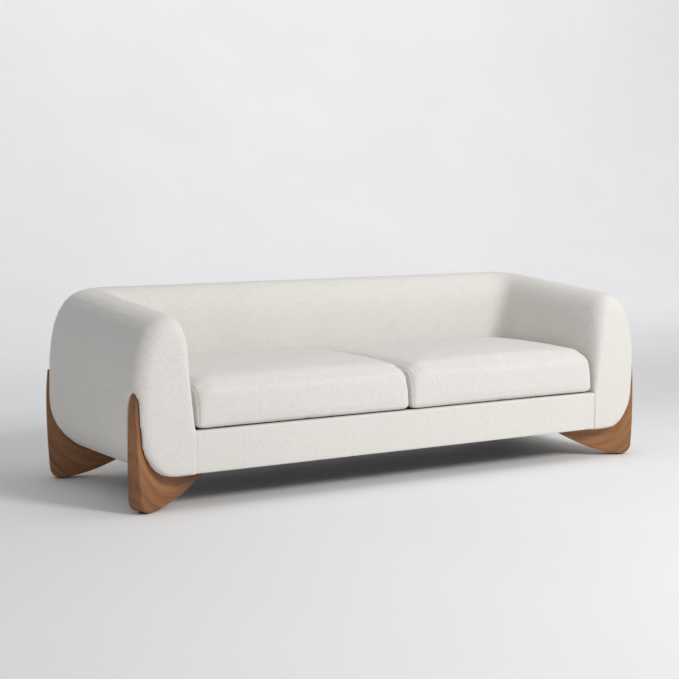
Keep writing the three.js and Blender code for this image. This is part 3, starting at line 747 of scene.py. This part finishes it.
def soft_block(low, high):
    """A closed even grid on a box, rounded and crowned like a boxed seat cushion."""
    cube = bpy.data.meshes.new("block")
    with edited(cube) as work:
        bmesh.ops.create_cube(work, size=1)
        bmesh.ops.subdivide_edges(work, edges=work.edges, cuts=CUSHION_STEPS, use_grid_fill=True)
    unit = points_of(cube) * 2
    half = np.array([(b - a) / 2 for a, b in zip(low, high)])
    middle = np.array([(b + a) / 2 for a, b in zip(low, high)])
    at = unit * half
    radius = edge_radius(unit)[:, None]
    core = np.clip(at, -(half - radius), half - radius)
    away = at - core
    length = np.maximum(np.linalg.norm(away, axis=1), 1e-9)[:, None]
    rounded = core + away / length * np.minimum(length, radius)
    share = rounded / half
    swell = np.clip((1 - share[:, 0] ** 2) * (1 - share[:, 1] ** 2), 0, 1)
    rounded[:, 2] += CUSHION_CROWN * swell**CUSHION_CROWN_POWER * np.clip(share[:, 2], 0, 1)
    set_points(cube, rounded + middle)
    return cube


def fill(piece, pressure, most):
    """Blows the cover up against its own cloth, and moves no point further than most."""
    start = points_of(piece.data).copy()
    cloth = piece.modifiers.new("cover", "CLOTH")
    cloth.settings.use_pressure = True
    cloth.settings.uniform_pressure_force = pressure
    cloth.settings.effector_weights.gravity = 0
    cloth.settings.quality = 5
    cloth.settings.tension_stiffness = COVER_STIFFNESS
    cloth.settings.compression_stiffness = COVER_STIFFNESS
    cloth.settings.bending_stiffness = COVER_BENDING
    cloth.point_cache.frame_start = 1
    cloth.point_cache.frame_end = FILL_FRAMES
    scene = bpy.context.scene
    for step in range(1, FILL_FRAMES + 1):
        scene.frame_set(step)
    apply_modifiers(piece)
    scene.frame_set(1)
    moved = points_of(piece.data) - start
    far = np.linalg.norm(moved, axis=1)
    capped = most * np.tanh(far / most)
    set_points(piece.data, start + moved * (capped / np.maximum(far, 1e-9))[:, None])


def groove(distance):
    """1 in the middle of a seam, falling to 0 beside it."""
    return np.exp(-(((distance - SEAM_IN) / SEAM_HALF_WIDTH) ** 2))


def cushion_seams(points, normals, low, high):
    """How deep each point lies in a seam: round each side panel, and along the bottom edge."""
    rise = points[:, 2] - low[2]
    above = np.clip((rise - SEAM_START) / SEAM_FADE, 0, 1)
    off_side = 1 - np.abs(normals[:, 0]) ** 3
    off_bottom = 1 - np.abs(normals[:, 2]) ** 3
    left = groove(np.abs(points[:, 0] - low[0])) * above * off_side
    right = groove(np.abs(points[:, 0] - high[0])) * above * off_side
    return np.maximum(np.maximum(left, right), groove(rise) * off_bottom)


def filled_cushion(low, high):
    """The left cushion's cover, filled, and its foam: two meshes."""
    start = CUSHION_START
    inner_low = [v + start for v in low]
    inner_high = [v - start for v in high]
    inner_low[2] = low.z + CUSHION_LIFT
    inner_high[2] = high.z - CUSHION_LOW
    filled = put_in_scene("filled", soft_block(inner_low, inner_high))
    remesh(filled, CUSHION_VOXEL, 4)
    fill(filled, CUSHION_PRESSURE, CUSHION_GIVE)
    core = filled.data.copy()
    set_points(core, points_of(core) - normals_of(core) * CORE_DEPTH)
    round_it = filled.modifiers.new("round", "SUBSURF")
    round_it.levels = 2
    round_it.render_levels = 2
    apply_modifiers(filled)
    cover = filled.data
    set_points(cover, held_inside(points_of(cover), low, high))
    bpy.data.objects.remove(filled)
    return cover, core


def make_cushions():
    """Both seat cushions: one is filled, the other is its mirror image with its own unevenness."""
    low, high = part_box("left_cushion_cover")
    cover, core = filled_cushion(low, high)
    for i, side in enumerate(SIDES):
        outside, inside = cover.copy(), core.copy()
        points = points_of(outside)
        normals = normals_of(outside)
        points += normals * (DENT * unevenness(points, CUSHION_SEED + i))[:, None]
        points -= normals * (SEAM_DEPTH * cushion_seams(points, normals, low, high))[:, None]
        set_points(outside, held_inside(points, low, high, SNUG))
        if side == "right":
            mirrored(outside)
            mirrored(inside)
        body = f"{side}_cushion"
        replaced = [f"{side}_cushion_cover"]
        name = f"{side}_seat_cushion"
        cushion = new_piece(name, outside, cushion_boucle, body, replaced)
        block = new_piece(f"{side}_cushion_foam", inside, foam, body, [f"{side}_cushion_core"])


# ------------------------------------------------------------------ legs
def leg_outer(z):
    """The outer edge: its place along the plate at a height."""
    bow = LEG_BOW * ((z - LEG_WAIST) / (LEG_WAIST - LEG_BOW_FOOT)) ** 2
    tip = max(0.0, (z - LEG_WAIST) / (LEG_TOP - LEG_WAIST))
    return LEG_WAIST_IN + bow + LEG_TIP_DRAW * tip**2


def leg_lower(along):
    """The lower edge: its height at a place along the plate."""
    share = along / LEG_REACH
    first, second, third = LEG_RISE_CURVE
    rise = first * share + second * share**2 + third * share**3
    return LEG_LIFT + LEG_RISE * max(0.0, rise)


def leg_thickness(z):
    share = min(1.0, z / (LEG_TOP - LEG_ARCH))
    into = max(0.0, (z - (LEG_TOP - LEG_ARCH)) / LEG_ARCH)
    plain = LEG_WIDTH_FOOT + (LEG_WIDTH_TOP - LEG_WIDTH_FOOT) * share
    return plain * math.sqrt(max(LEG_TIP_BLUNT, 1 - into * into))


def leg_inner(along):
    """The inside of the bend and of the lower horn: its height at a place along the plate."""
    share = min(1.0, max(0.0, LEG_CROOK_END - along) / LEG_CROOK[0])
    return LEG_CROOK_BASE + LEG_CROOK[1] * (1 - math.sqrt(1 - share * share))


def leg_stations():
    """Outer and inner points from the tip of the leg, round the heel, to the end of the lower horn."""
    crook_top = LEG_CROOK_BASE + LEG_CROOK[1]
    horn = LEG_CROOK_END - LEG_CROOK[0]
    stations = []
    for z in np.linspace(LEG_TOP, crook_top, HORN_STATIONS)[:-1]:
        share = (z - crook_top) / (LEG_TOP - crook_top)
        stations.append(((leg_outer(z), z), (horn - LEG_TAPER * share**2, z)))
    heel = LEG_LIFT + LEG_HEEL
    outer = [(leg_outer(z), z) for z in np.linspace(crook_top, heel, EDGE_STATIONS)[1:-1]]
    centre = leg_outer(heel) + LEG_HEEL
    for a in np.radians(np.linspace(*HEEL_TURN, HEEL_STATIONS)):
        outer.append((centre + LEG_HEEL * math.cos(a), heel + LEG_HEEL * math.sin(a)))
    bends = len(outer)
    for a, point in zip(np.radians(np.linspace(*CROOK_TURN, bends)), outer):
        start = LEG_CROOK_END + LEG_CROOK[0] * math.cos(a)
        stations.append((point, (start, crook_top + LEG_CROOK[1] * math.sin(a))))
    for i, along in enumerate(np.linspace(HEEL_END, LEG_REACH, REACH_STATIONS)):
        inner = start + (LEG_REACH - start) * (i + 1) / REACH_STATIONS
        stations.append(((along, leg_lower(along)), (inner, leg_inner(inner))))
    return stations


def leg_ring(outer, inner, per_corner=5):
    """A rectangular section with round corners, between an outer and an inner point."""
    out, back = Vector(outer), Vector(inner)
    depth = (out - back).length / 2
    middle = (out + back) / 2
    direction = (out - back).normalized()
    halves = (leg_thickness(outer[1]) / 2, leg_thickness(inner[1]) / 2)
    edge = min(LEG_EDGE, LEG_EDGE_SHARE * min(*halves, depth))
    wide, narrow = halves
    corners = ((0, 1, 1, wide), (90, -1, 1, narrow), (180, -1, -1, narrow), (270, 1, -1, wide))
    ring = []
    for start, reach_sign, across_sign, half in corners:
        for i in range(per_corner + 1):
            angle = math.radians(start + 90 * i / per_corner)
            reach = reach_sign * (depth - edge) + edge * math.cos(angle)
            across = across_sign * (half - edge) + edge * math.sin(angle)
            point = middle + direction * reach
            ring.append((point.x, across, point.y))
    return ring


def leg_mesh():
    """The front left leg in its own board: x along the board, y across it, z up."""
    rings = [leg_ring(*station) for station in leg_stations()]
    points = [point for ring in rings for point in ring]
    return lofted("leg", points, len(rings[0]), capped=True)


def cylinder(radius, low, high, along, segments=24):
    """An upright rod in the middle of the board."""
    mesh = bpy.data.meshes.new("rod")
    matrix = Matrix.Translation((along, 0, (low + high) / 2))
    sizes = {"radius1": radius, "radius2": radius, "depth": high - low, "segments": segments}
    with edited(mesh) as work:
        bmesh.ops.create_cone(work, cap_ends=True, matrix=matrix, **sizes)
    return mesh


def cut(piece, cutters):
    """Takes the cutters' shapes out of a piece."""
    for mesh in cutters:
        tool = put_in_scene("cutter", mesh)
        taken = piece.modifiers.new("cut", "BOOLEAN")
        taken.operation = "DIFFERENCE"
        taken.solver = "EXACT"
        taken.object = tool
        apply_modifiers(piece)
        bpy.data.objects.remove(tool)
        bpy.data.meshes.remove(mesh)


def leg_place():
    """From the board's own coordinates to the front left corner."""
    corner = Matrix.Translation((cad_box[0].x, cad_box[0].y + LEG_INSET, 0))
    return corner @ Matrix.Rotation(TOE_IN, 4, "Z")


def along_the_bend(points):
    """Grain places that follow the leg: along its bend, out from it, and through the plate."""
    middle_z = LEG_CROOK_BASE + LEG_CROOK[1]
    towards_tip = np.maximum(LEG_CROOK_END - points[:, 0], 0)
    below = np.maximum(middle_z - points[:, 2], 0) * LEG_CROOK[0] / LEG_CROOK[1]
    turned = np.arctan2(below, towards_tip) * LEG_CROOK[0]
    past = np.maximum(points[:, 0] - LEG_CROOK_END, 0)
    above = np.maximum(points[:, 2] - middle_z, 0)
    return np.stack([turned + past - above, np.hypot(towards_tip, below), points[:, 1]], axis=1)


def make_legs():
    """Four legs cut from one pattern, each with its own run of grain."""
    blank = put_in_scene("leg", leg_mesh())
    cutters = []
    for along in BOLT_PLACES:
        cutters.append(cylinder(HOLE_RADIUS, 0.0, HOLE_TOP, along))
        cutters.append(cylinder(BOLT_ROOM, -HOLE_START, leg_lower(along) + BOLT_RECESS, along))
    cut(blank, cutters)
    for number, (corner, mirror, flip) in enumerate(CORNERS):
        mesh = blank.data.copy()
        board = mesh.attributes.new("board", "FLOAT_VECTOR", "POINT")
        grain = along_the_bend(points_of(mesh)) + number * GRAIN_SHIFT
        board.data.foreach_set("vector", grain.astype(np.float32).ravel())
        mesh.transform(Matrix.Diagonal((mirror, flip, 1, 1)) @ leg_place())
        if mirror * flip < 0:
            mesh.flip_normals()
        name = f"{corner}_shaped_leg"
        leg = new_piece(name, mesh, walnut, replaced=[f"{corner}_leg"])
        leg.data.set_sharp_from_angle(angle=LEG_SHARP)
    bpy.data.objects.remove(blank)


# ------------------------------------------------------------------ bolts
def bolt_profile(low, high):
    """Radius, height and whether it is hexagonal, from the socket's floor to the end of the shank."""
    neck = low + BOLT_HEAD_HEIGHT
    profile = [
        (0.0, low + SOCKET_DEPTH, False),
        (SOCKET_RADIUS, low + SOCKET_DEPTH, True),
        (SOCKET_RADIUS, low, True),
        (BOLT_HEAD - BOLT_HEAD_EDGE, low, False),
        (BOLT_HEAD, low + BOLT_HEAD_EDGE, False),
        (BOLT_HEAD, neck, False),
        (BOLT_SHANK, neck, False),
    ]
    z = neck + BOLT_PLAIN
    while z < high - BOLT_END:
        profile += [(BOLT_SHANK, z, False), (BOLT_SHANK - THREAD_DEPTH, z + THREAD_DEPTH, False)]
        z += THREAD_PITCH
    return profile + [(BOLT_SHANK - BOLT_POINT, high, False), (0.0, high, False)]


def bolt_mesh(low, high, at):
    """A hexagon-socket bolt, head down, with a ridged shank."""
    points = []
    for radius, z, hexagonal in bolt_profile(low, high):
        for i in range(BOLT_SEGMENTS):
            angle = 2 * math.pi * i / BOLT_SEGMENTS
            into = (angle % (math.pi / 3)) - math.pi / 6
            reach = radius / math.cos(into) if hexagonal else radius
            points.append((at[0] + reach * math.cos(angle), at[1] + reach * math.sin(angle), z))
    return lofted("bolt", points, BOLT_SEGMENTS)


def make_bolts():
    for corner, _, _ in CORNERS:
        for number in (1, 2):
            node = f"{corner}_leg_bolt_{number}"
            low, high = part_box(node)
            mesh = bolt_mesh(low.z, high.z, ((low.x + high.x) / 2, (low.y + high.y) / 2))
            name = f"{corner}_socket_bolt_{number}"
            bolt = new_piece(name, mesh, steel, replaced=[node])
            bolt.data.set_sharp_from_angle(angle=BOLT_SHARP)


# ------------------------------------------------------------------ carried-over frame pieces
def material_for(name):
    """The finish of a CAD piece by its name, or else beech with the grain along its longest side."""
    endings = {"_core": foam, "_zip": tape, "_zip_pull": steel, "_glide": felt}
    for ending, material in endings.items():
        if name.endswith(ending):
            return material
    if name.startswith("webbing"):
        return webbing
    low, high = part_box(name)
    sizes = [b - a for a, b in zip(low, high)]
    return beech[sizes.index(max(sizes))]


def dress_frame():
    """Finishes for the CAD pieces that are shown as they are."""
    for name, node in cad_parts.items():
        if node.hide_render:
            continue
        material = material_for(name)
        for slot in node.material_slots:
            slot.material = material


# ------------------------------------------------------------------ dust cover
def make_dust_cover():
    """The black cloth stapled under the seat frame, with a little sag between the rails."""
    cover = copy_of_node("dust_cover", "dust_cover_cloth")
    low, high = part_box("dust_cover")
    with edited(cover.data) as work:
        for axis, count in enumerate(LINING_CUTS):
            for i in range(1, count):
                at = low[axis] + (high[axis] - low[axis]) * i / count
                normal = Vector((axis == 0, axis == 1, 0))
                geometry = list(work.verts) + list(work.edges) + list(work.faces)
                bmesh.ops.bisect_plane(work, geom=geometry, plane_co=normal * at, plane_no=normal)
    points = points_of(cover.data)
    middle_y, half_y = (low.y + high.y) / 2, (high.y - low.y) / 2
    share_x = np.clip(1 - (points[:, 0] / high.x) ** 2, 0, 1)
    share_y = np.clip(1 - ((points[:, 1] - middle_y) / half_y) ** 2, 0, 1)
    ripple = LINING_RIPPLE * share_y * unevenness(points, LINING_SEED)
    sag = LINING_SAG * share_x * share_y + ripple
    thinned = (points[:, 2] - low.z) * (LINING_THICKNESS / (high.z - low.z))
    points[:, 2] = low.z + thinned + LINING_LIFT - sag
    set_points(cover.data, points)
    area = sum(face.area for face in cover.data.polygons) / 2
    finish_piece(cover, lining, replaced=["dust_cover"], smooth=False)


# ------------------------------------------------------------------ repeats
class Repeat:
    """A Geometry Nodes tree that sets one small shape along a line of points."""

    def __init__(self, name):
        self.tree = bpy.data.node_groups.new(name, "GeometryNodeTree")
        self.tree.interface.new_socket("Line", in_out="INPUT", socket_type="NodeSocketGeometry")
        self.tree.interface.new_socket("Result", in_out="OUTPUT", socket_type="NodeSocketGeometry")
        self.start = self.tree.nodes.new("NodeGroupInput")
        self.end = self.tree.nodes.new("NodeGroupOutput")

    def size(self, name, value):
        socket = self.tree.interface.new_socket(name, in_out="INPUT", socket_type="NodeSocketFloat")
        socket.default_value = value
        return self.start.outputs[name]

    def node(self, kind, settings=None, **inputs):
        made = self.tree.nodes.new(kind)
        for key, value in (settings or {}).items():
            setattr(made, key, value)
        for key, value in inputs.items():
            socket = made.inputs[key.replace("_", " ")]
            if isinstance(value, bpy.types.NodeSocket):
                self.tree.links.new(value, socket)
            else:
                socket.default_value = value
        return made.outputs

    def vector(self, x=0.0, y=0.0, z=0.0):
        return self.node("ShaderNodeCombineXYZ", X=x, Y=y, Z=z)[0]


def repeat_tree(name, material, step, sizes):
    """Small bars, each of the given size and turned along the line, one step apart."""
    tree = Repeat(name)
    gap = tree.size("Step", step)
    width = tree.size("Width", sizes[0])
    depth = tree.size("Depth", sizes[1])
    height = tree.size("Height", sizes[2])
    curve = tree.node("GeometryNodeMeshToCurve", Mesh=tree.start.outputs["Line"])[0]
    spaced = tree.node("GeometryNodeCurveToPoints", {"mode": "LENGTH"}, Curve=curve, Length=gap)
    bar = tree.node("GeometryNodeMeshCube", Size=tree.vector(width, depth, height))[0]
    turned = tree.node("FunctionNodeAlignRotationToVector", {"axis": "X"}, Vector=spaced["Tangent"])[0]
    inputs = {"Points": spaced["Points"], "Instance": bar, "Rotation": turned}
    set_out = tree.node("GeometryNodeInstanceOnPoints", **inputs)[0]
    real = tree.node("GeometryNodeRealizeInstances", Geometry=set_out)[0]
    done = tree.node("GeometryNodeSetMaterial", Geometry=real, Material=material)[0]
    tree.tree.links.new(done, tree.end.inputs[0])
    return tree.tree


def repeats_along(name, tree, start, end, material, body, slot):
    """One plain mesh of the tree's shapes along a straight line."""
    mesh = bpy.data.meshes.new(name)
    mesh.from_pydata([start, end], [(0, 1)], [])
    piece = put_in_scene(name, mesh)
    piece.modifiers.new("repeat", "NODES").node_group = tree
    apply_modifiers(piece)
    finish_piece(piece, material, body, smooth=False)


def make_staples():
    """Wire staples that hold the dust cover to the rails."""
    low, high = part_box("dust_cover")
    z = low.z - STAPLE_DROP
    size = (STAPLE_WIDTH, STAPLE_WIRE, STAPLE_WIRE * STAPLE_FLATNESS)
    tree = repeat_tree("staples", steel, STAPLE_STEP, size)
    reach = high.x - STAPLE_END_GAP
    for end, y in (("front", low.y + STAPLE_INSET), ("rear", high.y - STAPLE_INSET)):
        line = ((-reach, y, z), (reach, y, z))
        repeats_along(f"{end}_staples", tree, *line, steel, "sofa_body", "steel")
    for side, x in (("left", low.x + STAPLE_INSET), ("right", high.x - STAPLE_INSET)):
        line = ((x, low.y + STAPLE_SIDE_GAP, z), (x, high.y - STAPLE_SIDE_GAP, z))
        repeats_along(f"{side}_staples", tree, *line, steel, "sofa_body", "steel")


def make_zip_teeth():
    """A row of moulded teeth on each cushion's zip tape."""
    tree = repeat_tree("teeth", tape, TOOTH_STEP, TOOTH_SIZE)
    for side in SIDES:
        low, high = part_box(f"{side}_cushion_zip")
        y, z = high.y + TOOTH_STAND, (low.z + high.z) / 2
        line = ((low.x + TOOTH_INSET, y, z), (high.x - TOOTH_INSET, y, z))
        repeats_along(f"{side}_zip_teeth", tree, *line, tape, f"{side}_cushion", "webbing")


# ------------------------------------------------------------------ setting
def make_floor():
    """A pale floor that curves up into a backdrop far behind."""
    profile = [(FLOOR_FRONT, 0.0)]
    profile += [(y, 0.0) for y in np.linspace(FLOOR_NEAR, FLOOR_BEND, 8)]
    for angle in np.radians(np.linspace(6, 84, 14)):
        y = FLOOR_BEND + FLOOR_RADIUS * math.sin(angle)
        profile.append((y, FLOOR_RADIUS * (1 - math.cos(angle))))
    profile.append((FLOOR_BEND + FLOOR_RADIUS, BACKDROP_TOP))
    rows = [(x, y, z) for x in (-FLOOR_HALF_WIDTH, FLOOR_HALF_WIDTH) for y, z in profile]
    count = len(profile)
    faces = [(i, i + count, i + count + 1, i + 1) for i in range(count - 1)]
    floor = put_in_scene("studio_floor", mesh_from("studio_floor", rows, faces))
    floor.data.shade_smooth()
    finish = Finish("pale_floor", Specular_IOR_Level=0.2)
    clouds = finish.noise(finish.place(), 0.8, 2)
    colour = finish.ramp(clouds, (0.3, (0.90, 0.90, 0.904)), (0.7, (0.925, 0.925, 0.928)))
    floor.data.materials.append(finish.done(Base_Color=colour, Roughness=0.8 + clouds * 0.1))


def make_lights():
    for name, (place, aim, size, power, colour) in LIGHTS.items():
        data = bpy.data.lights.new(name, "AREA")
        data.shape = "RECTANGLE"
        data.size, data.size_y = size
        data.energy = power
        data.color = colour
        light = put_in_scene(name, data)
        light.location = place
        direction = Vector(aim) - Vector(place)
        light.rotation_euler = direction.to_track_quat("-Z", "Y").to_euler()
    world = bpy.data.worlds.new("studio")
    world.use_nodes = True
    background = world.node_tree.nodes["Background"]
    background.inputs["Color"].default_value = WORLD_COLOUR
    background.inputs["Strength"].default_value = WORLD_STRENGTH
    bpy.context.scene.world = world


def make_camera():
    data = bpy.data.cameras.new("camera")
    data.sensor_width = 36
    data.lens = CAMERA_LENS
    data.clip_start = 0.05
    data.clip_end = 80
    camera = put_in_scene("camera", data)
    camera.location = CAMERA_PLACE
    camera.rotation_euler = (math.radians(90 + CAMERA_TILT), 0, math.radians(CAMERA_TURN))
    bpy.context.scene.camera = camera


make_body()
make_front_pad()
make_deck()
make_cushions()
make_legs()
make_bolts()
make_dust_cover()
make_staples()
make_zip_teeth()
dress_frame()
make_floor()
make_lights()
make_camera()
bpy.context.scene.view_settings.view_transform = "Standard"

bpy.context.view_layer.update()
